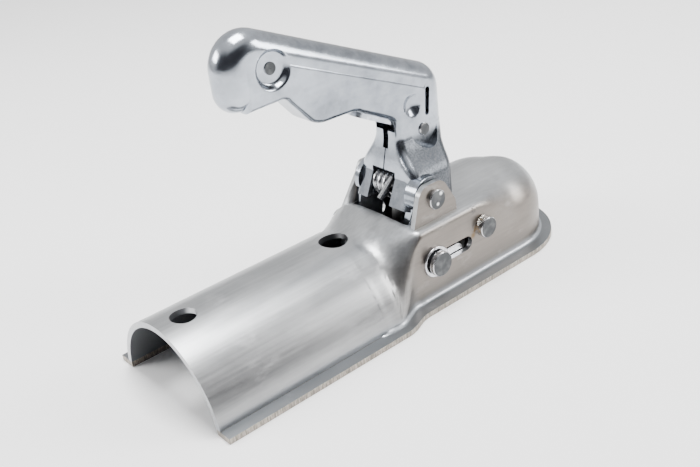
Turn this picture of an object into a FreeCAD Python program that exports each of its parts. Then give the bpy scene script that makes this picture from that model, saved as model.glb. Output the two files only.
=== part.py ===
import FreeCAD, Part
import math
import os

# Trailer coupling head. A pressed sheet housing seats a round drawbar tube at its rear and
# a tow ball under its domed nose. A hollow folded handle turns on a pin between two ears of
# the housing. Its forked legs drive a cross pin along a slot in the walls, and a yoke and
# spring on that pin swing the jaw against the ball.
# While a piece is drawn, x runs forward from the rear edge, y across and z up from the
# flange's underside. All sizes are millimetres.

V = FreeCAD.Vector
ACROSS = V(0, 1, 0)

# Tow ball and housing sheet
ball_radius = 25.0
socket_clearance = 0.25
body_sheet = 2.3
ball_x = 162.0
ball_z = 7.0

# Drawbar tube seat
tube_radius = 30.0
tube_axis_z = -1.4
seat_end_x = 77.0
neck_start_x = 84.0
neck_end_x = 99.0
crown_end_x = 104.0

# Box between the seat and the nose
box_corner_radius = 3.0
box_crown_radius = 300.0
nose_start_x = 128.0

# Flange round the open underside
rear_flange_reach = 5.2
front_flange_reach = 6.2
flange_fillet = 2.0

# Bolt holes on the crest of the seat
rear_hole_x = 11.2
hole_spacing = 70.0
rear_hole_radius = 5.1
front_hole_radius = 6.0

# Window and ears that the handle passes between
window_rear_x = 103.5
window_length = 26.0
window_corner = 5.0
ear_inner_y = 21.5
ear_overlap = 2.0

# Handle pivot
pivot_x = 115.5
pivot_z = 42.5
pivot_pin_radius = 3.2
pivot_head_radius = 4.15
pivot_head_height = 1.6
pin_running_gap = 0.05
ear_top_rise = 7.0

# Cross pin that slides along the wall slots
slot_pin_x = 109.5
slot_pin_z = 18.4
slot_pin_radius = 3.0
slot_gap = 0.1
slot_run = 17.9
slot_head_radius = 5.2
slot_head_height = 2.0
slot_neck = 0.9
slot_washer_radius = 6.6
slot_washer_thickness = 1.2
washer_wall_gap = 0.1

# Jaw and its hinge pin
jaw_pin_x = 137.7
jaw_pin_z = 22.5
jaw_pin_radius = 3.5
jaw_head_radius = 4.45
jaw_head_height = 3.2
jaw_hub_radius = 5.6
jaw_lug_inner_y = 15.6
jaw_yoke_gap = 0.35
jaw_floor_z = 1.0
jaw_open_angle = 22.0
jaw_recess_gap = 0.4

# Thrust yoke, its spring and guide
yoke_sheet = 2.2
yoke_wall_gap = 0.5
yoke_bend_radius = 4.0
tongue_pin_gap = 0.35
yoke_lobe_radius = 6.6
yoke_tongue_end_x = 127.6
yoke_tongue_low_z = 11.5
yoke_web_x = 98.0
yoke_web_low_z = 3.0
yoke_web_top_z = 13.2
thrust_z = 8.0
jaw_spring_radius = 4.4
jaw_spring_wire = 1.8
jaw_spring_turns = 6
guide_radius = 2.8
guide_reach = 12.0
seat_radius = 5.6
seat_thickness = 1.2

# Handle sheet, grip and neck
handle_sheet = 2.0
handle_half_width = 7.5
grip_end_x = 48.0
grip_end_z = 103.5
spine_slope = 24.3
spine_point_x = 70.5
spine_point_z = 117.6
rear_bend = 5.5
front_bend = 4.5
neck_front_x = 133.0
neck_rear_x = 113.7
fold_radius = 3.0
flare_top_z = 65.0
flare_end_z = 48.0
flare_rear_x = 110.6
skirt_half_width = 14.0
skirt_front_x = 135.2
skirt_rear_x = 106.0
skirt_base_z = 37.5
boss_radius = 8.5
boss_ear_gap = 0.4

# Forked legs of the handle
leg_half_width = 6.5
leg_reach = 29.0
fork_gap = 0.5

# Rivets and safety catch in the handle
grip_rivet_x = 60.5
grip_rivet_z = 109.0
grip_rivet_radius = 2.3
grip_dimple_radius = 8.2
grip_dimple_depth = 2.2
small_dimple_x = 122.4
small_dimple_z = 75.6
small_dimple_radius = 4.9
small_dimple_depth = 1.2
catch_x = 127.5
catch_z = 64.0
catch_rivet_radius = 2.1
catch_head_radius = 2.65
catch_head_height = 0.8
pad_radius = 7.0
pad_depth = 0.1
catch_sheet = 1.3
catch_side_gap = 0.3
tab_half_width = 5.0
tab_thickness = 2.0
tab_hole_radius = 1.5

# Springs wound from wire round the pivot and the catch rivet
coil_gap = 0.3
wire_gap = 0.1
handle_wire = 2.8
handle_spring_y = -2.6
handle_turns = 3
handle_lead_direction = -140.0
handle_lead = 9.5
handle_tail_direction = 10.0
handle_tail = 14.0
catch_wire = 1.1
catch_turns = 2
catch_lead_direction = 155.0
catch_lead = 7.0
catch_tail_direction = -60.0
catch_tail = 6.0

# Sizes worked out from the ones above
outer_radius = ball_radius + socket_clearance + body_sheet
wall_y = outer_radius
wall_inner_y = wall_y - body_sheet
box_top_z = ball_z + outer_radius
seat_outer = tube_radius + body_sheet
seat_top_z = tube_axis_z + seat_outer
rear_flange_y = seat_outer + rear_flange_reach
front_flange_y = outer_radius + front_flange_reach
overall_length = ball_x + front_flange_y
ear_outer_y = ear_inner_y + body_sheet
yoke_outer_y = wall_inner_y - yoke_wall_gap
yoke_inner_y = yoke_outer_y - yoke_sheet
jaw_lug_outer_y = yoke_inner_y - jaw_yoke_gap
below = -6.0
tan_slope = math.tan(math.radians(spine_slope))
cos_slope = math.cos(math.radians(spine_slope))


def placed(shape):
    """Moves a piece from the rear edge to the middle of the base."""
    moved = shape.copy()
    moved.translate(V(-overall_length / 2, 0, 0))
    return moved


def ease(value, start, end):
    """Rises smoothly from 0 at start to 1 at end."""
    t = min(max((value - start) / (end - start), 0.0), 1.0)
    return t * t * (3 - 2 * t)


def outline(corners, plane):
    """Closed wire through (u, v, radius) corners, with an arc at each corner that has a radius."""
    points = [V(u, v, 0) for u, v, radius in corners]
    count = len(corners)
    runs = []
    for i in range(count):
        here, radius = points[i], corners[i][2]
        back = (points[i - 1] - here).normalize()
        ahead = (points[(i + 1) % count] - here).normalize()
        if radius == 0:
            runs.append((here, None, here))
            continue
        half = back.getAngle(ahead) / 2
        middle = (back + ahead).normalize()
        trim = radius / math.tan(half)
        crest = here + middle * (radius / math.sin(half) - radius)
        runs.append((here + back * trim, crest, here + ahead * trim))
    edges = []
    for i in range(count):
        start, crest, end = (None if p is None else plane(p) for p in runs[i])
        if crest is not None:
            edges.append(Part.Arc(start, crest, end).toShape())
        following = plane(runs[(i + 1) % count][0])
        if end.distanceToPoint(following) > 1e-6:
            edges.append(Part.LineSegment(end, following).toShape())
    return Part.Wire(edges)


def side_plane(y):
    """Puts outline points in the upright plane at y."""
    return lambda p: V(p.x, y, p.y)


def floor_plane(z):
    """Puts outline points in the level plane at z."""
    return lambda p: V(p.x, p.y, z)


def plate(corners, y_low, y_high):
    """Flat piece cut from sheet, its outline in x and z."""
    face = Part.Face(outline(corners, side_plane(y_low)))
    return face.extrude(ACROSS * (y_high - y_low))


def both_sides(shape):
    """A piece and its mirror image across the middle plane."""
    return shape.fuse(shape.mirror(V(), ACROSS))


def rod(radius, x, z, y_low, y_high):
    """Round bar along y."""
    return Part.makeCylinder(radius, y_high - y_low, V(x, y_low, z), ACROSS)


def tube(outer, inner, x, z, y_low, y_high):
    """Round sleeve or washer along y."""
    return rod(outer, x, z, y_low, y_high).cut(rod(inner, x, z, y_low - 1, y_high + 1))


def fuse_all(shapes):
    """One solid from several that touch."""
    whole = shapes[0].multiFuse(shapes[1:])
    return whole.removeSplitter()


def section(x, inset, half_width, corner, crown, top, split=60.0):
    """Cross-section of the housing at x: two walls, two corner arcs and a crown arc."""
    half_width, crown, top = half_width - inset, crown - inset, top - inset
    corner = corner - inset
    centre_z = top - crown
    corner_y = half_width - corner
    if crown - corner < 1e-6:
        corner_z, lean = centre_z, math.radians(split)
    else:
        corner_z = centre_z + math.sqrt((crown - corner) ** 2 - corner_y ** 2)
        lean = math.atan2(corner_z - centre_z, corner_y)

    def on_corner(angle, side):
        return V(x, side * (corner_y + corner * math.cos(angle)), corner_z + corner * math.sin(angle))

    right = Part.Arc(on_corner(0, 1), on_corner(lean / 2, 1), on_corner(lean, 1))
    crown_arc = Part.Arc(on_corner(lean, 1), V(x, 0, top), on_corner(lean, -1))
    left = Part.Arc(on_corner(lean, -1), on_corner(lean / 2, -1), on_corner(0, -1))
    low_right, low_left = V(x, half_width, below), V(x, -half_width, below)
    return Part.Wire([
        Part.LineSegment(low_right, on_corner(0, 1)).toShape(),
        right.toShape(),
        crown_arc.toShape(),
        left.toShape(),
        Part.LineSegment(on_corner(0, -1), low_left).toShape(),
        Part.LineSegment(low_left, low_right).toShape(),
    ])


def blend(a, b, t):
    """Value between a and b."""
    return a + (b - a) * t


def neck_section(x, inset):
    """Seat section turning into box section as x passes through the neck."""
    shape = ease(x, neck_start_x - 4, crown_end_x)
    return section(
        x, inset,
        blend(seat_outer, wall_y, ease(x, neck_start_x, neck_end_x)),
        blend(seat_outer, box_corner_radius, shape),
        1 / blend(1 / seat_outer, 1 / box_crown_radius, shape),
        blend(seat_top_z, box_top_z, ease(x, seat_end_x, neck_end_x - 3)),
    )


def nose_section(x, inset):
    """Box section whose corners grow until it is the half circle over the ball."""
    t = (x - nose_start_x) / (ball_x - nose_start_x)
    shape = t ** 3 * (4 - 3 * t)
    return section(
        x, inset, wall_y,
        blend(box_corner_radius, outer_radius, shape),
        1 / blend(1 / box_crown_radius, 1 / outer_radius, shape),
        box_top_z,
    )


def stations(start, end, count):
    """Evenly spaced places from start to end."""
    return [start + (end - start) * i / (count - 1) for i in range(count)]


def run(wire, length):
    """Solid swept straight forward from a section."""
    return Part.Face(wire).extrude(V(length, 0, 0))


def hump(inset):
    """The raised form of the housing, from the rear edge to the nose."""
    rear = run(neck_section(seat_end_x, inset), -seat_end_x - (1 if inset else 0))
    neck = Part.makeLoft([neck_section(x, inset) for x in stations(seat_end_x, crown_end_x, 10)], True)
    box = run(neck_section(crown_end_x, inset), nose_start_x - crown_end_x)
    nose = Part.makeLoft([nose_section(x, inset) for x in stations(nose_start_x, ball_x, 9)], True)
    radius = outer_radius - inset
    tip, top = V(ball_x + radius, 0, ball_z), V(ball_x, 0, ball_z + radius)
    low, low_tip = V(ball_x, 0, below), V(ball_x + radius, 0, below)
    shoulder = V(ball_x + radius * math.sqrt(0.5), 0, ball_z + radius * math.sqrt(0.5))
    profile = Part.Wire([
        Part.LineSegment(low, low_tip).toShape(),
        Part.LineSegment(low_tip, tip).toShape(),
        Part.Arc(tip, shoulder, top).toShape(),
        Part.LineSegment(top, low).toShape(),
    ])
    half_dome = Part.Face(profile)
    half_dome.rotate(V(ball_x, 0, 0), V(0, 0, 1), -90)
    dome = half_dome.revolve(V(ball_x, 0, 0), V(0, 0, 1), 180)
    return fuse_all([rear, neck, box, nose, dome])


def flange_outline():
    """Plan outline of the flange, stepping in with an S-curve behind the box."""
    start, end = V(neck_start_x, -rear_flange_y, 0), V(neck_end_x, -front_flange_y, 0)
    step = Part.BSplineCurve()
    step.interpolate(Points=[start, end], InitialTangent=V(1, 0, 0) * 18, FinalTangent=V(1, 0, 0) * 18)
    near = [
        Part.LineSegment(V(0, -rear_flange_y, 0), start).toShape(),
        step.toShape(),
        Part.LineSegment(end, V(ball_x, -front_flange_y, 0)).toShape(),
    ]
    nose = Part.Arc(
        V(ball_x, -front_flange_y, 0), V(ball_x + front_flange_y, 0, 0), V(ball_x, front_flange_y, 0)
    ).toShape()
    far = [edge.mirror(V(), ACROSS) for edge in near]
    rear = Part.LineSegment(V(0, -rear_flange_y, 0), V(0, rear_flange_y, 0)).toShape()
    return Part.Wire(Part.__sortEdges__(near + [nose] + far + [rear]))


def level_edges(shape, z, rim):
    """Edges at height z that stand clear of the flange's rim."""
    level_rim = rim.copy()
    level_rim.translate(V(0, 0, z))
    found = []
    for edge in shape.Edges:
        box = edge.BoundBox
        level = abs(box.ZMin - z) < 0.01 and abs(box.ZMax - z) < 0.01
        if level and edge.distToShape(level_rim)[0] > 1.0:
            found.append(edge)
    return found


def ear():
    """One ear, bent up from the sheet beside the window."""
    base_z = box_top_z - ear_overlap
    top_z = pivot_z + ear_top_rise
    corners = [
        (pivot_x - 12.6, base_z, 0),
        (pivot_x - 8.2, pivot_z + 4.6, 5.0),
        (pivot_x - 5.0, top_z, 4.0),
        (pivot_x + 4.6, top_z, 6.0),
        (pivot_x + 10.9, pivot_z - 4.2, 3.0),
        (pivot_x + 11.4, base_z, 0),
    ]
    return plate(corners, -ear_outer_y, -ear_inner_y)


def link(radius, start, end, y_low, y_high):
    """Bar with round ends between two (x, z) places, cut square across y."""
    run_x, run_z = end[0] - start[0], end[1] - start[1]
    length = math.hypot(run_x, run_z)
    middle = Part.makeBox(length, y_high - y_low, 2 * radius, V(0, y_low, -radius))
    middle.rotate(V(), ACROSS, -math.degrees(math.atan2(run_z, run_x)))
    middle.translate(V(start[0], 0, start[1]))
    ends = [rod(radius, x, z, y_low, y_high) for x, z in (start, end)]
    return fuse_all([middle] + ends)


def wall_slot(radius):
    """Straight slot with round ends, cut through both walls."""
    start, end = (slot_pin_x, slot_pin_z), (slot_pin_x + slot_run, slot_pin_z)
    return link(radius, start, end, -wall_y - 5, wall_y + 5)


def coupling_body():
    """The housing, pressed from one sheet."""
    rim = flange_outline()
    flange = Part.Face(rim).extrude(V(0, 0, body_sheet))
    floor = Part.makeBox(400, 200, 20, V(-50, -100, -20))
    solid = hump(0).cut(floor).fuse(flange).removeSplitter()
    solid = solid.makeFillet(flange_fillet, level_edges(solid, body_sheet, rim))
    shell = solid.cut(hump(body_sheet))
    shell = shell.makeFillet(flange_fillet + body_sheet, level_edges(shell, 0, rim))
    window = Part.Face(outline([
        (window_rear_x, -ear_inner_y, window_corner),
        (window_rear_x + window_length, -ear_inner_y, window_corner),
        (window_rear_x + window_length, ear_inner_y, window_corner),
        (window_rear_x, ear_inner_y, window_corner),
    ], floor_plane(box_top_z - 6))).extrude(V(0, 0, 12))
    shell = shell.cut(window)
    shell = fuse_all([shell, both_sides(ear()).cut(hump(body_sheet))])
    holes = [
        Part.makeCylinder(rear_hole_radius, 20, V(rear_hole_x, 0, seat_top_z - 10)),
        Part.makeCylinder(front_hole_radius, 20, V(rear_hole_x + hole_spacing, 0, seat_top_z - 10)),
        wall_slot(slot_pin_radius + slot_gap),
        rod(jaw_pin_radius, jaw_pin_x, jaw_pin_z, -50, 50),
        rod(pivot_pin_radius, pivot_x, pivot_z, -50, 50),
    ]
    for hole in holes:
        shell = shell.cut(hole)
    return shell


def pin_shank(radius, x, z, head_y):
    """Shank of a cross pin that ends in a head at each side."""
    return rod(radius, x, z, -head_y, head_y)


def headed_pin(radius, head_radius, head_height, x, z, wall_face_y):
    """Cross pin with a flat head standing on each outer face."""
    head = rod(head_radius, x, z, -wall_face_y - head_height, -wall_face_y)
    bevel = head.makeChamfer(0.3, [e for e in head.Edges if e.BoundBox.YMax < -wall_face_y - 0.5])
    return fuse_all([rod(radius, x, z, -wall_face_y, wall_face_y), both_sides(bevel)])


def pivot_pin():
    """Rivet through both ears that the handle turns on."""
    return headed_pin(
        pivot_pin_radius, pivot_head_radius, pivot_head_height, pivot_x, pivot_z, ear_outer_y)


def jaw_pin():
    """Rivet through both walls that the jaw hangs on."""
    return headed_pin(jaw_pin_radius, jaw_head_radius, jaw_head_height, jaw_pin_x, jaw_pin_z, wall_y)


def slot_pin():
    """Cross pin with a necked head outside each wall."""
    washer_face = wall_y + washer_wall_gap + slot_washer_thickness
    neck_face = washer_face + slot_neck
    head = rod(slot_head_radius, slot_pin_x, slot_pin_z, -neck_face - slot_head_height, -neck_face)
    head = head.makeChamfer(0.3, [e for e in head.Edges if e.BoundBox.YMax < -neck_face - 0.5])
    shank = rod(slot_pin_radius, slot_pin_x, slot_pin_z, -neck_face, neck_face)
    return fuse_all([shank, both_sides(head)])


def slot_washer(side):
    """Washer with a rounded rim that rides on the wall round the slot."""
    face = wall_y + washer_wall_gap
    washer = tube(
        slot_washer_radius, slot_pin_radius + pin_running_gap, slot_pin_x, slot_pin_z,
        -face - slot_washer_thickness, -face)
    rim = [e for e in washer.Edges if e.BoundBox.YMax < -face - 0.5 and e.BoundBox.XLength > 10]
    washer = washer.makeFillet(0.5, rim)
    return washer if side < 0 else washer.mirror(V(), ACROSS)


def slot_spacer(side):
    """Sleeve that keeps the yoke's side plate away from the fork."""
    inner_face = skirt_half_width + 0.3
    outer_face = yoke_inner_y - 0.1
    spacer = tube(
        slot_pin_radius + 1.5, slot_pin_radius + pin_running_gap, slot_pin_x, slot_pin_z,
        -outer_face, -inner_face)
    return spacer if side < 0 else spacer.mirror(V(), ACROSS)


def thrust_yoke():
    """Bent sheet on the cross pin: two side plates and a web behind the jaw spring."""
    tongue_top_z = jaw_pin_z - jaw_pin_radius - tongue_pin_gap
    profile = plate([
        (yoke_web_x, yoke_web_low_z, 0),
        (slot_pin_x + 4, yoke_web_low_z, 6),
        (slot_pin_x + 8, yoke_tongue_low_z, 4),
        (yoke_tongue_end_x, yoke_tongue_low_z, 3.4),
        (yoke_tongue_end_x, tongue_top_z, 3.4),
        (slot_pin_x + 7, tongue_top_z, 3),
        (slot_pin_x + 2, slot_pin_z + yoke_lobe_radius, 3),
        (slot_pin_x - 5.5, slot_pin_z + yoke_lobe_radius, 4),
        (yoke_web_x + yoke_bend_radius, yoke_web_top_z, 3),
        (yoke_web_x, yoke_web_top_z, 0),
    ], -yoke_outer_y - 1, yoke_outer_y + 1)

    def bent(inset):
        low_x, half = yoke_web_x + inset, yoke_outer_y - inset
        bend = yoke_bend_radius - inset
        face = Part.Face(outline([
            (low_x, -half, bend), (ball_x, -half, 0), (ball_x, half, 0), (low_x, half, bend),
        ], floor_plane(0)))
        return face.extrude(V(0, 0, box_top_z))

    yoke = bent(0).cut(bent(yoke_sheet)).common(profile)
    yoke = yoke.cut(pin_shank(slot_pin_radius + pin_running_gap, slot_pin_x, slot_pin_z, 40))
    hole = Part.makeCylinder(guide_radius * 0.6, 20, V(yoke_web_x - 5, 0, thrust_z), V(1, 0, 0))
    return yoke.cut(hole)


def spring_guide():
    """Pin riveted in the yoke's web, inside the jaw spring."""
    front = Part.makeCylinder(
        guide_radius, guide_reach, V(yoke_web_x + yoke_sheet, 0, thrust_z), V(1, 0, 0))
    front = front.makeChamfer(0.8, [e for e in front.Edges if e.BoundBox.XMin > yoke_web_x + guide_reach])
    stub = Part.makeCylinder(guide_radius * 0.6, yoke_sheet + 1.2, V(yoke_web_x - 1.2, 0, thrust_z), V(1, 0, 0))
    head = Part.makeCylinder(guide_radius, 1.2, V(yoke_web_x - 1.2, 0, thrust_z), V(1, 0, 0))
    return fuse_all([front, stub, head])


def coil(start, direction, radius, wire, pitch, turns):
    """Spring wire wound round an axis from its start point."""
    helix = Part.makeHelix(pitch, pitch * turns, radius)
    profile = Part.Wire(Part.makeCircle(wire / 2, V(radius, 0, 0), V(0, 1, 0)))
    shape = Part.Wire(helix).makePipeShell([profile], True, True)
    turn = FreeCAD.Rotation(V(0, 0, 1), direction)
    shape.Placement = FreeCAD.Placement(start, turn)
    return shape


def jaw_rear_x():
    """Rear face of the jaw's spring seat while the jaw is open."""
    return jaw_pin_x - 9.8


def jaw_spring():
    """Compression spring between the yoke's web and the jaw."""
    start = yoke_web_x + yoke_sheet + jaw_spring_wire / 2 + 0.1
    end = jaw_rear_x() - seat_thickness - jaw_spring_wire / 2 - 0.1
    pitch = (end - start) / jaw_spring_turns
    return coil(V(start, 0, thrust_z), V(1, 0, 0), jaw_spring_radius, jaw_spring_wire, pitch, jaw_spring_turns)


def spring_seat():
    """Washer that spreads the spring's push over the jaw."""
    face = jaw_rear_x()
    washer = Part.makeCylinder(seat_radius, seat_thickness, V(face - seat_thickness, 0, thrust_z), V(1, 0, 0))
    return washer.makeChamfer(0.3, [e for e in washer.Edges if e.BoundBox.XMax < face - 0.5])


def jaw():
    """Hinged jaw with a hollow that fits the back of the ball, drawn closed and swung open."""
    closed_rear_x = jaw_pin_x - 1.4
    low = plate([
        (closed_rear_x, jaw_floor_z, 2.0),
        (closed_rear_x + 11, jaw_floor_z, 0),
        (closed_rear_x + 11, jaw_pin_z - jaw_pin_radius - 1.6, 0),
        (closed_rear_x, jaw_pin_z - jaw_pin_radius - 1.6, 2.0),
    ], -jaw_lug_outer_y, jaw_lug_outer_y)
    hub = rod(jaw_hub_radius, jaw_pin_x, jaw_pin_z, -jaw_lug_outer_y, -jaw_lug_inner_y)
    lug = plate([
        (closed_rear_x, jaw_floor_z + 6, 0),
        (closed_rear_x + 8, jaw_floor_z + 6, 0),
        (jaw_pin_x + jaw_hub_radius - 0.2, jaw_pin_z, 0),
        (jaw_pin_x - jaw_hub_radius + 0.2, jaw_pin_z, 0),
    ], -jaw_lug_outer_y, -jaw_lug_inner_y)
    solid = fuse_all([low, both_sides(fuse_all([hub, lug]))])
    ball = Part.makeSphere(ball_radius + jaw_recess_gap, V(ball_x, 0, ball_z))
    solid = solid.cut(ball)
    solid.rotate(V(jaw_pin_x, 0, jaw_pin_z), ACROSS, jaw_open_angle)
    boss = Part.makeCylinder(seat_radius, 8, V(jaw_rear_x(), 0, thrust_z), V(1, 0, 0))
    keep = Part.makeSphere(ball_radius + jaw_recess_gap, V(ball_x, 0, ball_z))
    keep.rotate(V(jaw_pin_x, 0, jaw_pin_z), ACROSS, jaw_open_angle)
    solid = fuse_all([solid, boss.cut(keep)])
    solid = solid.cut(Part.makeBox(200, 200, 40, V(0, -100, jaw_floor_z - 40)))
    return solid.cut(pin_shank(jaw_pin_radius + pin_running_gap, jaw_pin_x, jaw_pin_z, 40))


def spine_z(x):
    """Height of the centre of the handle's rounded spine."""
    return spine_point_z - handle_half_width / cos_slope - (x - spine_point_x) * tan_slope


def rounded_run(start, end, radius):
    """Straight stretch of the rounded spine."""
    return Part.makeCylinder(radius, start.distanceToPoint(end), start, end - start)


def rounded_bend(centre, bend, radius, first, turn):
    """Bend of the rounded spine: a half-round section swung about a cross axis."""
    face = Part.Face(Part.Wire([
        Part.LineSegment(V(0, -radius, 0), V(bend, -radius, 0)).toShape(),
        Part.Arc(V(bend, -radius, 0), V(bend + radius, 0, 0), V(bend, radius, 0)).toShape(),
        Part.LineSegment(V(bend, radius, 0), V(0, radius, 0)).toShape(),
        Part.LineSegment(V(0, radius, 0), V(0, -radius, 0)).toShape(),
    ]))
    face.rotate(V(), ACROSS, first)
    piece = face.revolve(V(), ACROSS, turn)
    piece.translate(centre)
    return piece


def arm(inset):
    """Grip, arm and neck of the handle: a plate with a rounded back from grip to neck."""
    radius = handle_half_width - inset
    rear_corner = V(grip_end_x, 0, spine_z(grip_end_x))
    front_corner = V(neck_front_x, 0, spine_z(neck_front_x))
    turn_rear = 90 + spine_slope
    turn_front = 90 - spine_slope
    rear_trim = rear_bend / math.tan(math.radians(180 - turn_rear) / 2)
    front_trim = front_bend / math.tan(math.radians(180 - turn_front) / 2)
    along = V(cos_slope, 0, -math.sin(math.radians(spine_slope)))
    base = flare_top_z
    rear_centre = V(grip_end_x + rear_bend, 0, rear_corner.z - rear_trim)
    front_centre = V(neck_front_x - front_bend, 0, front_corner.z - front_trim)
    rounds = [
        Part.makeSphere(radius, V(grip_end_x, 0, grip_end_z)),
        rounded_run(V(grip_end_x, 0, grip_end_z), V(grip_end_x, 0, rear_centre.z), radius),
        rounded_bend(rear_centre, rear_bend, radius, 180, turn_rear),
        rounded_run(rear_corner + along * rear_trim, front_corner - along * front_trim, radius),
        rounded_bend(front_centre, front_bend, radius, 180 + turn_rear, turn_front),
        rounded_run(V(neck_front_x, 0, front_centre.z), V(neck_front_x, 0, base), radius),
    ]
    bottom = grip_end_z - handle_half_width + inset
    web = plate([
        (grip_end_x, bottom, 0),
        (64.5, bottom, 6),
        (80.0, 81.2 + inset, 12),
        (94.5, 80.6 + inset, 12),
        (neck_rear_x + inset, 71.8 + inset, 6),
        (neck_rear_x + inset, base, 0),
        (neck_front_x, base, 0),
        (front_corner.x, front_corner.z, front_bend),
        (rear_corner.x, rear_corner.z, rear_bend),
    ], -radius, radius)
    folds = [
        e for e in web.Edges
        if e.BoundBox.YLength < 0.01 and e.BoundBox.ZMax < spine_z(e.BoundBox.XMin) - 3
        and not (e.BoundBox.ZMax < base + 0.01) and e.BoundBox.XMin < neck_front_x - 0.5
        and e.BoundBox.XMax > grip_end_x + 1
    ]
    web = web.makeFillet(fold_radius - inset * 0.9, folds)
    return fuse_all([web] + rounds)


def neck_ring(z, half_width, x_rear, x_front, inset):
    """Level section of the flared neck, rounder at the front than at the rear."""
    front, rear = handle_half_width - 0.2 - inset, fold_radius - inset * 0.9
    return outline([
        (x_rear + inset, -half_width + inset, rear),
        (x_front - inset, -half_width + inset, front),
        (x_front - inset, half_width - inset, front),
        (x_rear + inset, half_width - inset, rear),
    ], floor_plane(z))


def flare(inset):
    """Neck spreading from the arm's width to the width of the skirt."""
    top_front = neck_front_x + handle_half_width
    wires = []
    for z in stations(flare_top_z, flare_end_z, 8):
        spread = ease(-z, -flare_top_z, -flare_end_z)
        wires.append(neck_ring(
            z,
            blend(handle_half_width, skirt_half_width, spread),
            blend(neck_rear_x, flare_rear_x, spread),
            blend(top_front, skirt_front_x, spread),
            inset,
        ))
    return Part.makeLoft(wires, True)


def skirt(inset):
    """Straight-sided foot of the neck, below the flare."""
    half = skirt_half_width - inset
    block = plate([
        (flare_rear_x + inset, flare_end_z, 0), (skirt_front_x - inset, flare_end_z, 0),
        (skirt_front_x - inset, skirt_base_z, 0), (skirt_rear_x + inset, skirt_base_z, 0),
    ], -half, half)
    upright = [e for e in block.Edges if e.BoundBox.ZLength > 5 and e.BoundBox.YLength < 0.01]
    front = [e for e in upright if e.BoundBox.XMin > pivot_x]
    block = block.makeFillet(handle_half_width - 0.2 - inset, front)
    rear = [
        e for e in block.Edges
        if e.BoundBox.ZLength > 5 and e.BoundBox.YLength < 0.01 and e.BoundBox.XMax < pivot_x
    ]
    return block.makeFillet(fold_radius - inset * 0.9, rear)


def leg():
    """Flat leg beside the fork, from the skirt down to the cross pin."""
    swing = math.atan2(slot_pin_z - pivot_z, slot_pin_x - pivot_x)
    down = V(math.cos(swing), math.sin(swing), 0)
    aside = V(-down.y, down.x, 0)
    pivot = V(pivot_x, pivot_z, 0)
    reach = math.hypot(slot_pin_x - pivot_x, slot_pin_z - pivot_z)

    def corner(along, across, radius):
        point = pivot + down * along + aside * across
        return (point.x, point.y, radius)

    width = leg_half_width
    bar = plate([
        corner(-2, -width, 0), corner(leg_reach, -width, 3.0),
        corner(leg_reach, width, 3.0), corner(-2, width, 0),
    ], -skirt_half_width, -skirt_half_width + handle_sheet)
    mouth = slot_pin_radius + fork_gap
    fork = plate([
        corner(reach - 1.2 - mouth, -mouth, mouth - 0.01), corner(leg_reach + 5, -mouth, 0),
        corner(leg_reach + 5, mouth, 0), corner(reach - 1.2 - mouth, mouth, mouth - 0.01),
    ], -skirt_half_width - 1, -skirt_half_width + handle_sheet + 1)
    return bar.cut(fork)


def grip_dimple(inset):
    """Dished hollow round the grip rivet, pressed into one side."""
    face_y = handle_half_width - inset
    spread = inset * 0.6
    floor, rim = grip_dimple_radius * 0.6 + spread, grip_dimple_radius + spread
    floor_y, rim_y = grip_dimple_depth - face_y, -face_y
    curve = Part.BSplineCurve()
    curve.interpolate(
        Points=[V(floor, floor_y, 0), V(rim, rim_y, 0)],
        InitialTangent=V(1, 0, 0) * 4, FinalTangent=V(1, 0, 0) * 4)
    profile = Part.Wire([
        Part.LineSegment(V(0, floor_y, 0), V(floor, floor_y, 0)).toShape(),
        curve.toShape(),
        Part.LineSegment(V(rim, rim_y, 0), V(rim, rim_y - 3, 0)).toShape(),
        Part.LineSegment(V(rim, rim_y - 3, 0), V(0, rim_y - 3, 0)).toShape(),
        Part.LineSegment(V(0, rim_y - 3, 0), V(0, floor_y, 0)).toShape(),
    ])
    hollow = Part.Face(profile).revolve(V(), ACROSS, 360)
    hollow.translate(V(grip_rivet_x, 0, grip_rivet_z))
    return hollow


def small_dimple(inset):
    """Round-bottomed dimple on one side of the neck."""
    ball = (small_dimple_radius ** 2 + small_dimple_depth ** 2) / (2 * small_dimple_depth)
    centre_y = -handle_half_width + small_dimple_depth - ball
    return Part.makeSphere(ball + inset, V(small_dimple_x, centre_y, small_dimple_z))


def pressed_in(inset):
    """Everything that is pressed into the handle's sides."""
    pad = rod(pad_radius + inset, catch_x, catch_z, -30, pad_depth + inset - handle_half_width)
    return both_sides(fuse_all([pad, grip_dimple(inset), small_dimple(inset)]))


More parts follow.
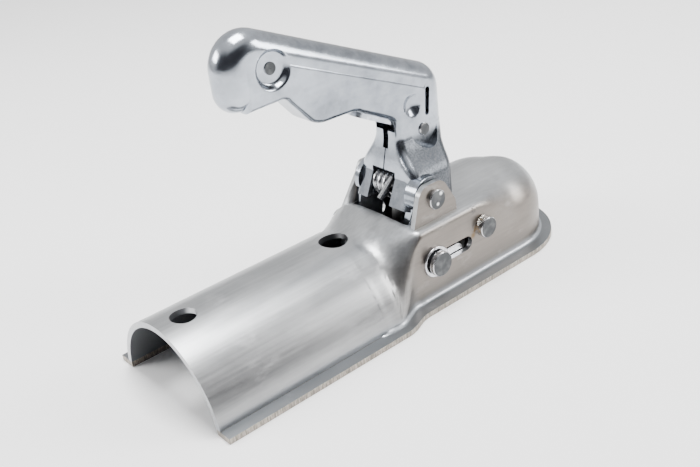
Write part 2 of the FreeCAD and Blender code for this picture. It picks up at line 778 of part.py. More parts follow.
def handle():
    """The handle, folded from one sheet: hollow arm, flared neck, pivot bosses and forked legs."""
    boss_face = ear_inner_y - boss_ear_gap
    boss = rod(boss_radius, pivot_x, pivot_z, -boss_face, -skirt_half_width + handle_sheet)
    boss = boss.makeFillet(1.6, [e for e in boss.Edges if e.BoundBox.YMax < -boss_face + 0.01])
    cup = rod(
        boss_radius - handle_sheet, pivot_x, pivot_z, -boss_face + handle_sheet, 0)
    outer = fuse_all([arm(0), flare(0), skirt(0)]).cut(pressed_in(0))
    hollow = [arm(handle_sheet), flare(handle_sheet), skirt(handle_sheet)]
    shell = outer.cut(fuse_all(hollow).cut(pressed_in(handle_sheet)))
    shell = fuse_all([shell, both_sides(fuse_all([leg(), boss]))])
    open_y = skirt_half_width - handle_sheet - fold_radius * 1.8
    tab_way = plate([
        (94.5, 76.0, 0), (94.5, 86.0, 0), (112.0, 78.5, 0), (118.5, 75.0, 0),
        (118.5, 66.5, 0), (111.0, 66.5, 0),
    ], -tab_half_width - 0.4, tab_half_width + 0.4)
    cuts = [
        both_sides(cup),
        Part.makeBox(neck_rear_x + 6 - 90, 2 * open_y, 20, V(90, -open_y, 30.6)),
        Part.makeBox(24, 0.6, 12, V(95, -0.3, 49)),
        Part.makeBox(8, 3.0, 11, V(neck_rear_x - 4, -1.5, 59)),
        Part.makeBox(44, 0.6, 10, V(grip_end_x + 6, -0.3, grip_end_z - handle_half_width - 2)),
        tab_way,
        link(1.15, (130.9, 79.6), (130.0, 70.2), -20, 20),
        rod(catch_rivet_radius + pin_running_gap, catch_x, catch_z, -40, 40),
        rod(grip_rivet_radius, grip_rivet_x, grip_rivet_z, -40, 40),
        rod(pivot_pin_radius + pin_running_gap, pivot_x, pivot_z, -40, 40),
    ]
    for cut in cuts:
        shell = shell.cut(cut)
    return shell


def grip_rivet():
    """Hollow rivet that ties the two sides of the grip together."""
    face = handle_half_width - grip_dimple_depth + 0.4
    return tube(grip_rivet_radius, grip_rivet_radius - 1.2, grip_rivet_x, grip_rivet_z, -face, face)


def catch_rivet():
    """Rivet through the neck that the safety catch turns on."""
    return headed_pin(
        catch_rivet_radius, catch_head_radius, catch_head_height, catch_x, catch_z,
        handle_half_width - pad_depth)


def safety_catch():
    """Folded lever inside the neck, with a tab for the finger under the arm."""
    cheek_outer = handle_half_width - handle_sheet - small_dimple_depth - catch_side_gap
    cheek = plate([
        (131.6, 59.6, 4.0), (132.4, 76.5, 2.0), (128.4, 77.0, 2.0), (123.5, 69.2, 3.0),
        (112.6, 74.2, 1.0), (111.4, 71.2, 0), (118.0, 68.0, 2.0), (123.2, 59.6, 4.0),
    ], -cheek_outer, catch_sheet - cheek_outer)
    floor = plate([
        (111.4, 71.2, 0), (117.6, 68.2, 0), (118.2, 69.4, 0), (112.0, 72.4, 0),
    ], -cheek_outer, cheek_outer)
    tab = plate([
        (112.6, 70.2, 0), (113.2, 72.2, 0), (97.2, 80.6, 0), (96.2, 78.8, 0),
    ], -tab_half_width, tab_half_width)
    ends = [
        e for e in tab.Edges
        if e.BoundBox.XMax < 98 and e.BoundBox.YLength < 0.01
    ]
    tab = tab.makeFillet(3.0, ends)
    catch = fuse_all([both_sides(cheek), floor, tab])
    hole = Part.makeCylinder(tab_hole_radius, 12, V(100.0, 0, 72.0))
    bore = rod(catch_rivet_radius + pin_running_gap, catch_x, catch_z, -20, 20)
    return catch.cut(hole).cut(bore)


def torsion_spring(x, y, z, radius, wire, turns, lead_direction, lead, tail_direction, tail):
    """Coil round a cross pin, its two legs leaving in the given directions up from forward."""
    part_turn = (tail_direction - lead_direction + 180) % 360 / 360
    turns = turns + 1 - part_turn
    pitch = wire + wire_gap
    helix = Part.makeHelix(pitch, pitch * turns, radius)
    profile = Part.Wire(Part.makeCircle(wire / 2, V(radius, 0, 0), ACROSS))
    winding = Part.Wire(helix).makePipeShell([profile], True, True)
    end_angle = 2 * math.pi * turns
    end = V(radius * math.cos(end_angle), radius * math.sin(end_angle), pitch * turns)
    onward = V(-math.sin(end_angle), math.cos(end_angle), 0)
    legs = [
        Part.makeCylinder(wire / 2, lead, V(radius, 0, 0), V(0, -1, 0)),
        Part.makeCylinder(wire / 2, tail, end, onward),
    ]
    spring = fuse_all([winding] + legs)
    spring.rotate(V(), V(1, 0, 0), -90)
    spring.rotate(V(), ACROSS, 90 - lead_direction)
    spring.translate(V(x, y, z))
    return spring


def handle_spring():
    """Torsion spring that lifts the handle, one leg on the window's rear edge."""
    radius = pivot_pin_radius + coil_gap + handle_wire / 2
    return torsion_spring(
        pivot_x, handle_spring_y, pivot_z, radius, handle_wire, handle_turns,
        handle_lead_direction, handle_lead, handle_tail_direction, handle_tail)


def catch_spring():
    """Torsion spring that presses the safety catch down."""
    radius = catch_rivet_radius + coil_gap + catch_wire / 2
    start_y = -(catch_turns + 0.5) * (catch_wire + wire_gap) / 2
    return torsion_spring(
        catch_x, start_y, catch_z, radius, catch_wire, catch_turns,
        catch_lead_direction, catch_lead, catch_tail_direction, catch_tail)


pieces = {
    "coupling_body": coupling_body(),
    "pivot_pin": pivot_pin(),
    "jaw_pin": jaw_pin(),
    "slot_pin": slot_pin(),
    "slot_washer_near": slot_washer(-1),
    "slot_washer_far": slot_washer(1),
    "slot_spacer_near": slot_spacer(-1),
    "slot_spacer_far": slot_spacer(1),
    "thrust_yoke": thrust_yoke(),
    "spring_guide": spring_guide(),
    "jaw_spring": jaw_spring(),
    "spring_seat": spring_seat(),
    "jaw": jaw(),
    "handle": handle(),
    "grip_rivet": grip_rivet(),
    "catch_rivet": catch_rivet(),
    "safety_catch": safety_catch(),
    "handle_spring": handle_spring(),
    "catch_spring": catch_spring(),
}
os.makedirs("parts", exist_ok=True)
for name, shape in pieces.items():
    print(name, shape.isValid(), len(shape.Solids), round(shape.Volume, 1))
    placed(shape).exportStep("parts/" + name + ".step")
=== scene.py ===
from math import cos, radians, sin

import bmesh
import bpy
import numpy as np
from mathutils import Matrix, Vector


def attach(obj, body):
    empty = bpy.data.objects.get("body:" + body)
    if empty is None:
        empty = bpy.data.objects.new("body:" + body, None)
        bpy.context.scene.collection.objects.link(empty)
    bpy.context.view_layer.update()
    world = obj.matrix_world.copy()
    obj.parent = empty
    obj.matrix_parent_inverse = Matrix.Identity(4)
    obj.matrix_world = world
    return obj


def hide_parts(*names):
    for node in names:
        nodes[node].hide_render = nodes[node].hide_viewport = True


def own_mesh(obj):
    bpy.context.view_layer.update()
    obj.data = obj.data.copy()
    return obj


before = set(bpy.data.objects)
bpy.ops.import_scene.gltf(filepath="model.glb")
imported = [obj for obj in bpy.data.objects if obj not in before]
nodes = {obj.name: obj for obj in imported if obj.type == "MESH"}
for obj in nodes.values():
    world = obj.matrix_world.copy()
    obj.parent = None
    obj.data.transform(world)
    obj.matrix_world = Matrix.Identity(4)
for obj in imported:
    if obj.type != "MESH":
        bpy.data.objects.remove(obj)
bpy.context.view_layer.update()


# A 50 mm lens looks down on the head from behind and from its left, tipped a little to the side,
# as the picture was taken.
frame_pixels = 700
focal_pixels = 976.56
camera_place = Vector((-0.216455, -0.27536, 0.21253))
turn, rise, roll = (radians(angle) for angle in (-37.13, 27.85, -7.18))

camera_data = bpy.data.cameras.new("picture_lens")
camera_data.sensor_width = 36.0
camera_data.lens = focal_pixels / frame_pixels * camera_data.sensor_width
camera_data.clip_start = 0.01
camera = bpy.data.objects.new("picture_camera", camera_data)
bpy.context.scene.collection.objects.link(camera)
back = Vector((sin(turn) * cos(rise), -cos(turn) * cos(rise), sin(rise)))
level_right = Vector((cos(turn), sin(turn), 0))
level_up = back.cross(level_right)
right = cos(roll) * level_right + sin(roll) * level_up
up = cos(roll) * level_up - sin(roll) * level_right
camera.matrix_world = Matrix.Translation(camera_place) @ Matrix((right, up, back)).transposed().to_4x4()
bpy.context.scene.camera = camera


# The housing is pressed from one sheet of steel: a round seat that is bolted over the drawbar's
# tube, a neck, a box with two ears, and a domed nose over the ball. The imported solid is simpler
# than the pressing, so a copy of it is reshaped. Its sizes are millimetres from the rear edge.
to_rear_edge = np.array((97.875, 0, 0))
seat_outer, seat_top = 32.3, 30.9
box_top, box_corner, box_crown, box_middle = 34.55, 3.0, 300.0, 116.0
dome_outer, ball_x, ball_z = 27.55, 162.0, 7.0
nose_start, nose_corner, shoulder_corner = 128.0, 20.0, 18.0
neck_width, solid_neck, solid_rise = (84, 99), (80, 104), (77, 96)
pressed_neck, pressed_rise = (86, 104), (88, 102)
pivot_x, lug_share = 115.5, 0.62
rim_start, rim_end, rim_trim = 29.9, 33.7, 1.4


def ease(value, start, end):
    """Rises smoothly from 0 at start to 1 at end: 3 t squared less 2 t cubed."""
    t = np.clip((value - start) / (end - start), 0.0, 1.0)
    return t * t * (3 - 2 * t)


def blend(a, b, t):
    """Straight mix: a where t is 0 and b where it is 1."""
    return a + (b - a) * t


def section_reach(angle, centre_z, half_width, corner, crown, top):
    """Distance from (0, centre_z) to a section line: a wall, then a corner arc, then a crown arc.

    To the wall it is half the width over the angle's cosine. To an arc it is where the ray
    leaves the arc's circle: the circle's centre along the ray, plus the root of that squared
    less the centre's distance squared plus the radius squared."""
    crown_z = top - crown - centre_z
    corner_y = half_width - corner
    corner_z = crown_z + np.sqrt(np.maximum((crown - corner) ** 2 - corner_y ** 2, 0.0))
    lean = np.where(crown - corner < 0.01, 1.0, np.arctan2(corner_z - crown_z, corner_y))
    wall_end = np.arctan2(corner_z, half_width)
    crown_start = np.arctan2(corner_z + corner * np.sin(lean), corner_y + corner * np.cos(lean))
    along = corner_y * np.cos(angle) + corner_z * np.sin(angle)
    on_corner = along + np.sqrt(np.maximum(
        along ** 2 - corner_y ** 2 - corner_z ** 2 + corner ** 2, 0.0))
    rise = crown_z * np.sin(angle)
    on_crown = rise + np.sqrt(rise ** 2 - crown_z ** 2 + crown ** 2)
    on_wall = half_width / np.maximum(np.cos(angle), 0.01)
    return np.where(angle < wall_end, on_wall, np.where(angle < crown_start, on_corner, on_crown))


def far_lug(x, y, z):
    """The far ear becomes a small lug: y is drawn in by straight stretches, and above the box x
    is drawn to the pivot by lug_share."""
    on_ear = (y > 8) & (y < 24.2) & (x > 103.4) & (x < 129.6) & (z > 31)
    drawn_in = np.where(on_ear, np.interp(y, (8, 21.5, 23.8, 24.2), (8, 15.2, 17.5, 18.2)), y)
    return np.where(on_ear & (z > 36), pivot_x + (x - pivot_x) * lug_share, x), drawn_in


def housing_form(points):
    """Moves both skins out from the middle of each section by the pressing's reach less the
    solid's. That fades out toward the flange and on the nose's far side, and what stands above
    the box stays. The flange's nose is then cut back by rim_trim."""
    x, y, z = points.T
    x, y = far_lug(x, y, z)
    nose = x > box_middle
    beyond = np.maximum(x - ball_x, 0)
    across = np.hypot(beyond, y)
    centre_z = np.where(nose, ball_z, 0.0)
    angle = np.arctan2(z - centre_z, across)
    half_width = blend(seat_outer, dome_outer, ease(x, *neck_width))

    t = np.clip((x - nose_start) / (ball_x - nose_start), 0, 1)
    t = t ** 3 * (4 - 3 * t)
    boxed = ease(x, *solid_neck)
    corner = np.where(nose, blend(box_corner, dome_outer, t), blend(seat_outer, box_corner, boxed))
    crown = 1 / np.where(
        nose, blend(1 / box_crown, 1 / dome_outer, t), blend(1 / seat_outer, 1 / box_crown, boxed))
    top = blend(seat_top, box_top, ease(x, *solid_rise))
    solid = section_reach(angle, centre_z, half_width, corner, crown, top)

    boxed = ease(x, *pressed_neck)
    near_corner = np.where(
        nose, blend(box_corner, nose_corner, ease(x, 130, ball_x) ** 1.5), box_corner)
    far_corner = blend(shoulder_corner, box_corner, ease(x, 104, 126))
    corner = np.where((y > 0) & (x < nose_start), far_corner, near_corner)
    corner = np.where(nose, corner, blend(seat_outer, corner, boxed))
    top = blend(seat_top, box_top, ease(x, *pressed_rise))
    crown = 1 / blend(1 / seat_outer, 1 / box_crown, boxed)
    pressed = section_reach(angle, centre_z, half_width, corner, crown, top)

    near = np.where(x > nose_start, ease(-y / (across + 0.001), -0.5, 0.4), 1.0)
    grow = (pressed - solid) * near * ease(z, 3, 8) * (z < 36) * (angle > 0)
    stretch = 1 + grow / (np.hypot(across, z - centre_z) + 1e-9)
    x = np.where(beyond > 0, ball_x + beyond * stretch, x)
    y, z = y * stretch, centre_z + (z - centre_z) * stretch
    rim = ease(np.hypot(np.maximum(x - ball_x, 0), y), rim_start, rim_end) * (z < 3)
    return np.stack((x - rim_trim * rim * ease(x, 120, 160), y, z), 1)


def reshaped(node, name, body, form):
    """Copy of a CAD node's mesh, its doubles merged, with its points moved by a form that takes
    and gives them in millimetres from the rear edge. An edge is sharp where the solid's faces
    meet at more than half a radian."""
    shape = bmesh.new()
    shape.from_mesh(nodes[node].data)
    bmesh.ops.remove_doubles(shape, verts=shape.verts, dist=1e-6)
    for edge in shape.edges:
        edge.smooth = edge.is_manifold and edge.calc_face_angle(0.0) < 0.5
    for face in shape.faces:
        face.smooth = True
    mesh = bpy.data.meshes.new(name)
    shape.to_mesh(mesh)
    shape.free()
    points = np.empty(3 * len(mesh.vertices), "f")
    mesh.vertices.foreach_get("co", points)
    points = points.reshape(-1, 3).astype(float) * 1000 + to_rear_edge
    mesh.vertices.foreach_set("co", ((form(points) - to_rear_edge) / 1000).ravel().astype("f"))
    mesh.update()
    made = bpy.data.objects.new(name, mesh)
    bpy.context.scene.collection.objects.link(made)
    flat_faces = made.modifiers.new("flat_faces", "WEIGHTED_NORMAL")
    flat_faces.keep_sharp = True
    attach(made, body)
    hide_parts(node)
    return made


class Channel:
    """A shader socket that takes part in arithmetic. Each operator on it adds a Math node."""

    def __init__(self, tree, socket=None):
        self.tree, self.socket = tree, socket

    def node(self, kind, settings=(), inputs=(), output=0):
        """Adds a node. Its settings come first, then its sockets get values or links."""
        made = self.tree.nodes.new(kind)
        for name, value in dict(settings).items():
            setattr(made, name, value)
        for name, value in dict(inputs).items():
            if isinstance(value, Channel):
                self.tree.links.new(value.socket, made.inputs[name])
            else:
                made.inputs[name].default_value = value
        return Channel(self.tree, made.outputs[output])

    def maths(self, operation, *values):
        """Adds a Math node on this channel and other values."""
        return self.node("ShaderNodeMath", {"operation": operation}, dict(enumerate(values)))

    def __add__(self, other):
        return self.maths("ADD", self, other)

    def __sub__(self, other):
        return self.maths("SUBTRACT", self, other)

    def __rsub__(self, other):
        return self.maths("SUBTRACT", other, self)

    def __mul__(self, other):
        return self.maths("MULTIPLY", self, other)

    def __abs__(self):
        return self.maths("ABSOLUTE", self)

    __radd__, __rmul__ = __add__, __mul__

    def most(self, other):
        return self.maths("MAXIMUM", self, other)

    def step(self, low, high):
        """Smooth rise from 0 where the channel is low to 1 where it is high."""
        return self.node("ShaderNodeMapRange", {"interpolation_type": "SMOOTHSTEP"},
                         {"Value": self, "From Min": low, "From Max": high})

    def blend(self, first, second):
        """Colour between two, with the channel as the share of the second."""
        return self.node("ShaderNodeMix", {"data_type": "RGBA"}, {0: self, 6: first, 7: second}, 2)

    def around(self, place, reach):
        """1 at a place on the object and 0 beyond reach metres from it."""
        away = self.node("ShaderNodeVectorMath", {"operation": "DISTANCE"}, {0: self, 1: place}, 1)
        return away.step(reach, reach * 0.2)

    def axes(self):
        """The three coordinates of a vector."""
        split = self.node("ShaderNodeSeparateXYZ", {}, {0: self}).socket.node
        return [Channel(self.tree, coordinate) for coordinate in split.outputs]

    def noise(self, scale, stretch=(1, 1, 1), detail=3.0, rough=0.5):
        """Cloudy pattern on the object's own coordinates, scale in repeats a metre."""
        placed = self.node("ShaderNodeMapping", {}, {"Vector": self, "Scale": stretch})
        return self.node("ShaderNodeTexNoise", {},
                         {"Vector": placed, "Scale": scale, "Detail": detail, "Roughness": rough})


def new_metal(name, shown_on):
    """Metallic material on some pieces. Gives where a point is, which way it faces, and the
    function that wires colour, roughness and a bump of some depth to the shader."""
    material = bpy.data.materials.new(name)
    material.use_nodes = True
    tree = material.node_tree
    shader = tree.nodes["Principled BSDF"]
    shader.inputs["Metallic"].default_value = 1.0
    for piece in shown_on:
        mesh = (nodes[piece] if isinstance(piece, str) else piece).data
        mesh.materials.clear()
        mesh.materials.append(material)
    start = Channel(tree)
    place = start.node("ShaderNodeTexCoord", output="Object")
    facing = start.node("ShaderNodeTexCoord", output="Normal")

    def wire(colour, roughness, height, depth):
        tree.links.new(colour.socket, shader.inputs["Base Color"])
        tree.links.new(roughness.socket, shader.inputs["Roughness"])
        bump = height.node("ShaderNodeBump", {}, {"Height": height, "Distance": depth})
        tree.links.new(bump.socket, shader.inputs["Normal"])

    return place, facing, wire


housing = reshaped("coupling_body", "pressed_housing", "housing", housing_form)

# Its zinc is clouded and lightly scuffed. The walls beside the slots are painted warmer and darker,
# a painted shade and warm reflection, the flange's cut face shows the shear's streaks, and the
# cross pin has smeared and nicked the slot.
nick_place, nick_reach = (0.0345, -0.0272, 0.0320), 0.0028
smear_place, smear_reach = (0.0353, -0.0276, 0.0226), 0.0035
spot_place, spot_reach = (0.0335, -0.0276, 0.0205), 0.002
seat_axis_drop = 0.0014
place, facing, wire = new_metal("pressed_steel", [housing])
x, y, z = place.axes()
toward_y, upward = facing.axes()[1:]
cloud = place.noise(26.0, (0.6, 1, 1), 5.0, 0.62)
grain = place.noise(900.0, (0.05, 1, 1), 2.0)
pebble = place.noise(1500.0, (1, 1, 1), 2.0)
striae = place.noise(2600.0, (1, 1, 0.1), 2.0)
scuff = place.noise(60.0, (1, 1, 2.5), 6.0, 0.7).step(0.56, 0.68)
level = abs(upward).step(0.25, 0.6)
cut_face = (1 - level) * (1 - z.step(0.0023, 0.0026))
flat = (1 - z.step(0.0024, 0.0027)) * level
low = (1 - z.step(0.0024, 0.006)) * (1 - cut_face)
wall = abs(toward_y).step(0.45, 0.9) * (x.step(-0.02, 0.004) * 0.75 + 0.25)
# Painted shade on the faces that turn inward toward the seat's axis, standing in for the dark hollow.
hollow_painted_shade = (toward_y * y + upward * (z + seat_axis_drop)).step(-0.001, -0.004)
chipped = place.noise(420.0, (1, 0.3, 1.4), 3.0).step(0.52, 0.58)
nick = place.around(nick_place, nick_reach) * chipped
smeared = place.noise(700.0, (1, 1, 1), 3.0).step(0.4, 0.6)
stain = (place.around(smear_place, smear_reach) * smeared).most(place.around(spot_place, spot_reach))

zinc = (cloud.step(0.3, 0.75) * 0.5 + grain * 0.5).blend(
    (0.30, 0.31, 0.32, 1), (0.60, 0.61, 0.62, 1))
# Painted shade and painted warm reflection: the faces turned sideways get a darker, warmer copy of the
# zinc.
wall_painted_shade = (cloud.step(0.25, 0.8) * 0.6 + grain * 0.4).blend(
    (0.13, 0.116, 0.102, 1), (0.27, 0.245, 0.222, 1))
sheared = striae.step(0.3, 0.7).blend((0.20, 0.18, 0.155, 1), (0.46, 0.42, 0.37, 1))
tone = wall.blend(zinc, wall_painted_shade)
for mask, colour in (
    # Painted cool reflection on the low fillet band and the nose's foot.
    (low * 0.7, (0.40, 0.43, 0.47, 1)),
    # Painted shade on the flange's flat faces.
    (flat * 0.9, (0.20, 0.21, 0.22, 1)),
    (scuff * 0.1, (0.75, 0.75, 0.75, 1)),
    # Painted shade inside the hollow.
    (hollow_painted_shade * 0.85, (0.10, 0.105, 0.115, 1)),
    (stain, (0.17, 0.12, 0.07, 1)),
    (nick * 0.7, (0.10, 0.10, 0.10, 1)),
):
    tone = mask.blend(tone, colour)
wire(
    cut_face.blend(tone, sheared),
    0.24 + cloud * 0.16 + grain * 0.08 + cut_face * 0.15 + hollow_painted_shade * 0.25 + scuff * 0.08,
    pebble * 0.4 + grain * 0.35 + cut_face * striae * 1.5 + cloud * 2.0 - nick * 6.0,
    0.00003,
)


# The handle is folded from 2 mm sheet into a hollow grip with a forked neck, zinc plated, and
# turns on the pivot rivet. Low down its near side swells out almost to the ear, and its far side
# stops short of the small far lug.
skirt_half = (0, 8.5, 12, 14, 21.1, 30)
near_half = (0, 8.5, 15.0, 18.6, 21.1, 30)
far_half = (0, 8.5, 12.4, 14.5, 14.8, 30)
underside_x, underside_z = (50, 60, 72, 80, 95, 112), (81, 81, 72, 76, 81, 81)
underside_lift, bump_shift, heel_shift, heel_lift = 1.2, 3.5, 2.2, 1.8
dimple_x, dimple_z, dimple_radius, dimple_depth = 122.4, 75.6, 6.5, 0.8


def handle_form(points):
    """Maps the skirt's half width by straight stretches, lifts the grip's underside, sinks a
    dimple of depth times (1 less distance squared) squared into the near side, and moves the
    finger bump back and the heel forward and up."""
    x, y, z = points.T
    on_skirt = ease(z, 33, 37) * (1 - ease(z, 50, 67))
    half = np.abs(y)
    spread = np.where(y < 0, np.interp(half, skirt_half, near_half), np.interp(half, skirt_half, far_half))
    half = blend(half, spread, on_skirt)
    underside = np.interp(x, underside_x, underside_z)
    lifted = (1 - ease(x, 100, 110)) * ease(x, 54, 66) * (1 - ease(z, underside + 2, 108))
    z = z + underside_lift * lifted
    away = np.hypot(x - dimple_x, z - dimple_z) / dimple_radius
    half = half - dimple_depth * np.maximum(1 - away ** 2, 0) ** 2 * (half > 3) * (y < 0)
    x = x - bump_shift * ease(x, 62, 74) * (1 - ease(x, 84, 97)) * (1 - ease(z, 80, 100))
    heel = (1 - ease(x, 54, 68)) * (1 - ease(z, 84, 98))
    return np.stack((x + heel_shift * heel, np.sign(y) * half, z + heel_lift * heel), 1)


handle = reshaped("handle", "folded_handle", "handle_arm", handle_form)
place, facing, wire = new_metal("zinc_handle", [handle])
z = place.axes()[2]
mottle = place.noise(60.0, (1, 1, 1), 5.0, 0.65)
broad = place.noise(16.0, (1, 1, 1), 3.0, 0.5)
brush = place.noise(700.0, (0.15, 1, 1), 3.0)
speck = place.noise(1300.0, (1, 1, 1), 2.0)
# Painted shade on the neck's flared sides, which face a little down: they get a near-black colour.
neck = (1 - z.step(0.0605, 0.064)) * abs(facing.axes()[1]).step(0.5, 0.75) * z.step(0.036, 0.040)
plated = (mottle.step(0.3, 0.7) * 0.45 + broad.step(0.35, 0.65) * 0.35 + brush * 0.2).blend(
    (0.15, 0.166, 0.19, 1), (0.50, 0.535, 0.59, 1))
neck_painted_shade = (speck.step(0.35, 0.65) * 0.7 + mottle * 0.3).blend(
    (0.035, 0.038, 0.043, 1), (0.11, 0.117, 0.127, 1))
wire(
    (neck * 0.9).blend(plated, neck_painted_shade),
    0.08 + mottle * 0.14 + brush * 0.05 + neck * 0.2,
    mottle * 2.0 + brush * 0.3 + neck * speck,
    0.00004,
)


# The pivot rivet is turned from steel bar. It carries the handle from the near ear to the far
# lug, which stands nearer than the solid's far ear, so its far head is drawn in.
far_head_shift = 6.3


def pivot_form(points):
    """Takes far_head_shift from y on the far head."""
    x, y, z = points.T
    return np.stack((x, np.where(y > 15, y - far_head_shift, y), z), 1)


pivot = reshaped("pivot_pin", "pivot_rivet", "housing", pivot_form)


# The jaw pin is a rivet that was tacked to the wall by hand. The bead is a bright, lumpy roll of
# weld metal round the upper left of its near head.
pin_head = (0.039825, -0.0283, 0.0225)
bead_start, bead_end, bead_ring, bead_thickness = 88, 158, 0.0047, 0.00085


def weld_bead(start, end, ring_radius, thickness, centre):
    """Torus arc about the pin's axis: u turns from start to end, v round the roll. The roll's
    radius is thickness times the root of sin(pi u), with ripples of 7 and 13 waves along it."""
    u, v = np.meshgrid(np.linspace(0, 1, 60), np.linspace(0, 2 * np.pi, 20, endpoint=False), indexing="ij")
    turn = np.radians(start + (end - start) * u)
    roll = thickness * np.sqrt(np.sin(np.pi * np.clip(u, 0.004, 0.996)))
    roll = roll * (1 + 0.22 * np.sin(7 * 2 * np.pi * u + v) + 0.12 * np.sin(13 * 2 * np.pi * u - 2 * v))
    reach = ring_radius + roll * np.cos(v)
    return np.stack((reach * np.cos(turn), roll * np.sin(v), reach * np.sin(turn)), -1) + centre


def swept(name, rings):
    """Closed piece through rings of points: neighbours joined by quads, a face over each end."""
    count, sides = rings.shape[:2]
    at = np.arange(count * sides).reshape(count, sides)
    beside = np.roll(at, -1, 1)
    quads = np.stack((at[:-1], beside[:-1], beside[1:], at[1:]), -1).reshape(-1, 4)
    ends = [at[0, ::-1].tolist(), at[-1].tolist()]
    mesh = bpy.data.meshes.new(name)
    mesh.from_pydata(rings.reshape(-1, 3), [], quads.tolist() + ends)
    shape = bmesh.new()
    shape.from_mesh(mesh)
    bmesh.ops.recalc_face_normals(shape, faces=shape.faces)
    shape.to_mesh(mesh)
    shape.free()
    mesh.shade_smooth()
    made = bpy.data.objects.new(name, mesh)
    bpy.context.scene.collection.objects.link(made)
    return made


bead = swept("pin_weld", weld_bead(bead_start, bead_end, bead_ring, bead_thickness, pin_head))
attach(bead, "housing")
place, facing, wire = new_metal("weld_metal", [bead])
slag = place.noise(1500.0, (1, 1, 1), 3.0)
wire(
    slag.step(0.4, 0.62).blend((0.62, 0.60, 0.56, 1), (0.16, 0.12, 0.08, 1)),
    0.12 + slag * 0.2,
    slag,
    0.00008,
)


# A solid steel rivet goes through the grip and shows in its dimple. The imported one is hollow, so
# its hole is closed to a fine centre mark.
rivet_x, rivet_z, hollow_reach, hollow_share = 60.5, 109.0, 1.3, 0.15


def rivet_form(points):
    """Draws the points nearer than hollow_reach to the rivet's axis in to hollow_share of that."""
    x, y, z = points.T
    hollow = np.hypot(x - rivet_x, z - rivet_z) < hollow_reach
    share = np.where(hollow, hollow_share, 1.0)
    return np.stack((rivet_x + (x - rivet_x) * share, y, rivet_z + (z - rivet_z) * share), 1)


grip_rivet = reshaped("grip_rivet", "grip_stud", "handle_arm", rivet_form)


# The pins and rivets are turned from steel bar and riveted over or pressed in. Their shanks and
# rims are bright, their ends matte, and the pivot's near end has two bright marks.
marks = (((0.0194, -0.0254, 0.0447), 0.0012), ((0.0174, -0.0254, 0.0407), 0.001))
place, facing, wire = new_metal(
    "pin_steel", [pivot, "jaw_pin", "slot_pin", grip_rivet, "catch_rivet", "spring_guide"])
end_face = abs(facing.axes()[1]).step(0.8, 0.97)
fleck = place.noise(900.0, (1, 1, 1), 3.0)
ring = place.noise(250.0, (1, 1, 1), 2.0)
upper_mark, lower_mark = (place.around(*mark) for mark in marks)
bright = upper_mark.most(lower_mark)
tone = end_face.blend((0.55, 0.55, 0.56, 1), (0.07, 0.073, 0.076, 1))
tone = (ring.step(0.4, 0.7) * 0.12).blend(tone, (0.5, 0.5, 0.5, 1))
wire(
    bright.blend(tone, (0.9, 0.9, 0.9, 1)),
    0.2 + end_face * 0.22 + fleck * 0.1,
    fleck + bright,
    0.00003,
)


# Washers and spacers ride on the cross pin on both sides of the walls, and the spring's seat
# stands on the jaw. They are stamped from strip, rolled round at the rim and zinc plated.
place, facing, wire = new_metal(
    "washer_zinc",
    ["slot_washer_near", "slot_washer_far", "slot_spacer_near", "slot_spacer_far", "spring_seat"])
fleck = place.noise(700.0, (1, 1, 1), 3.0)
wire(
    fleck.step(0.3, 0.7).blend((0.50, 0.50, 0.52, 1), (0.72, 0.72, 0.74, 1)),
    0.18 + fleck * 0.12,
    fleck,
    0.00002,
)


# The yoke that the cross pin pushes and the safety catch under the grip are folded from strip,
# and the jaw that holds the ball is a forging. The strip is bright zinc, the jaw is left darker.
for name, shown_on, dark, light, rough, grit in (
    ("yoke_zinc", ["thrust_yoke"], (0.55, 0.55, 0.57, 1), (0.80, 0.80, 0.82, 1), 0.16, 600.0),
    ("jaw_steel", ["jaw"], (0.20, 0.20, 0.20, 1), (0.36, 0.36, 0.36, 1), 0.42, 350.0),
    ("catch_zinc", ["safety_catch"], (0.40, 0.43, 0.48, 1), (0.62, 0.65, 0.70, 1), 0.22, 500.0),
):
    place, facing, wire = new_metal(name, shown_on)
    fleck = place.noise(grit, (1, 1, 1), 4.0)
    wire(fleck.step(0.3, 0.7).blend(dark, light), rough + fleck * 0.12, fleck, 0.00003)


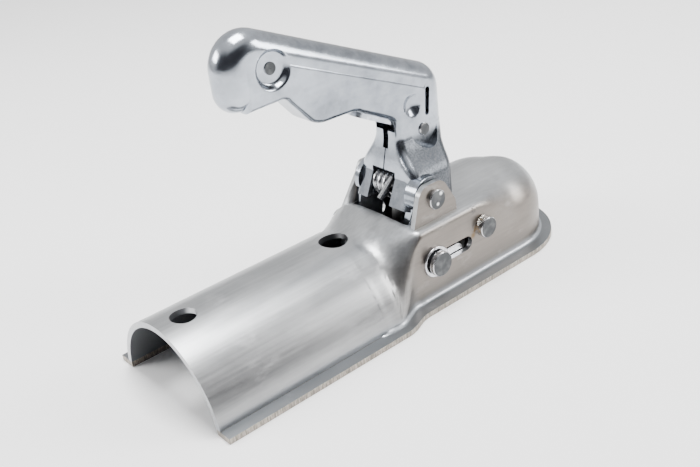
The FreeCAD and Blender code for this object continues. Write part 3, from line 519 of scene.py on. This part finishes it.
# The springs of jaw, handle and catch are wound from bright drawn wire. The jaw's spring stands
# between yoke and seat, which press it together as the cross pin slides.
jaw_spring = reshaped("jaw_spring", "thrust_spring", "cross_slide", lambda points: points)
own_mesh(jaw_spring)
place, facing, wire = new_metal("spring_steel", [jaw_spring, "handle_spring", "catch_spring"])
drawn = place.noise(1400.0, (1, 1, 1), 2.0)
wire(
    drawn.step(0.3, 0.7).blend((0.42, 0.43, 0.44, 1), (0.66, 0.66, 0.67, 1)),
    0.16 + drawn * 0.12,
    drawn,
    0.00001,
)


# The head stands on a pale, matte table.
half_table = 6.0
floor_mesh = bpy.data.meshes.new("table_top")
corners = [(-half_table, -half_table, 0), (half_table, -half_table, 0),
           (half_table, half_table, 0), (-half_table, half_table, 0)]
floor_mesh.from_pydata(corners, [], [(0, 1, 2, 3)])
floor = bpy.data.objects.new("table_top", floor_mesh)
bpy.context.scene.collection.objects.link(floor)
pale = bpy.data.materials.new("pale_table")
pale.use_nodes = True
pale_shader = pale.node_tree.nodes["Principled BSDF"]
pale_shader.inputs["Base Color"].default_value = (0.97, 0.97, 0.97, 1)
pale_shader.inputs["Roughness"].default_value = 0.9
floor_mesh.materials.append(pale)


# The ceiling is bright and the room behind the camera is dimmer, so that the plated metal has
# something to show. Three soft lamps hang overhead and on both sides.
world = bpy.data.worlds.new("studio")
bpy.context.scene.world = world
world.use_nodes = True
sky = Channel(world.node_tree)
ahead, across, above = sky.node("ShaderNodeTexCoord", output="Generated").axes()
dim = (ahead * -0.6 + across * -0.8).step(-0.1, 0.6) * (1 - above.step(0.6, 0.9))
background = world.node_tree.nodes["Background"]
room_light = dim.blend((1, 1, 1, 1), (0.07, 0.07, 0.08, 1))
world.node_tree.links.new(room_light.socket, background.inputs["Color"])
background.inputs["Strength"].default_value = 1.0

lit_place = Vector((0, 0, 0.05))
for name, place, width, height, power in (
    ("overhead", (0.05, 0.0, 0.9), 0.5, 0.4, 16.0),
    ("left_side", (-0.7, 0.5, 0.5), 0.5, 0.3, 7.0),
    ("right_side", (0.7, -0.6, 0.45), 0.3, 0.5, 7.0),
):
    lamp = bpy.data.lights.new(name, "AREA")
    lamp.shape, lamp.size, lamp.size_y, lamp.energy = "RECTANGLE", width, height, power
    made = bpy.data.objects.new(name, lamp)
    bpy.context.scene.collection.objects.link(made)
    away = Vector(place) - lit_place
    made.matrix_world = Matrix.Translation(place) @ away.to_track_quat("Z", "Y").to_matrix().to_4x4()
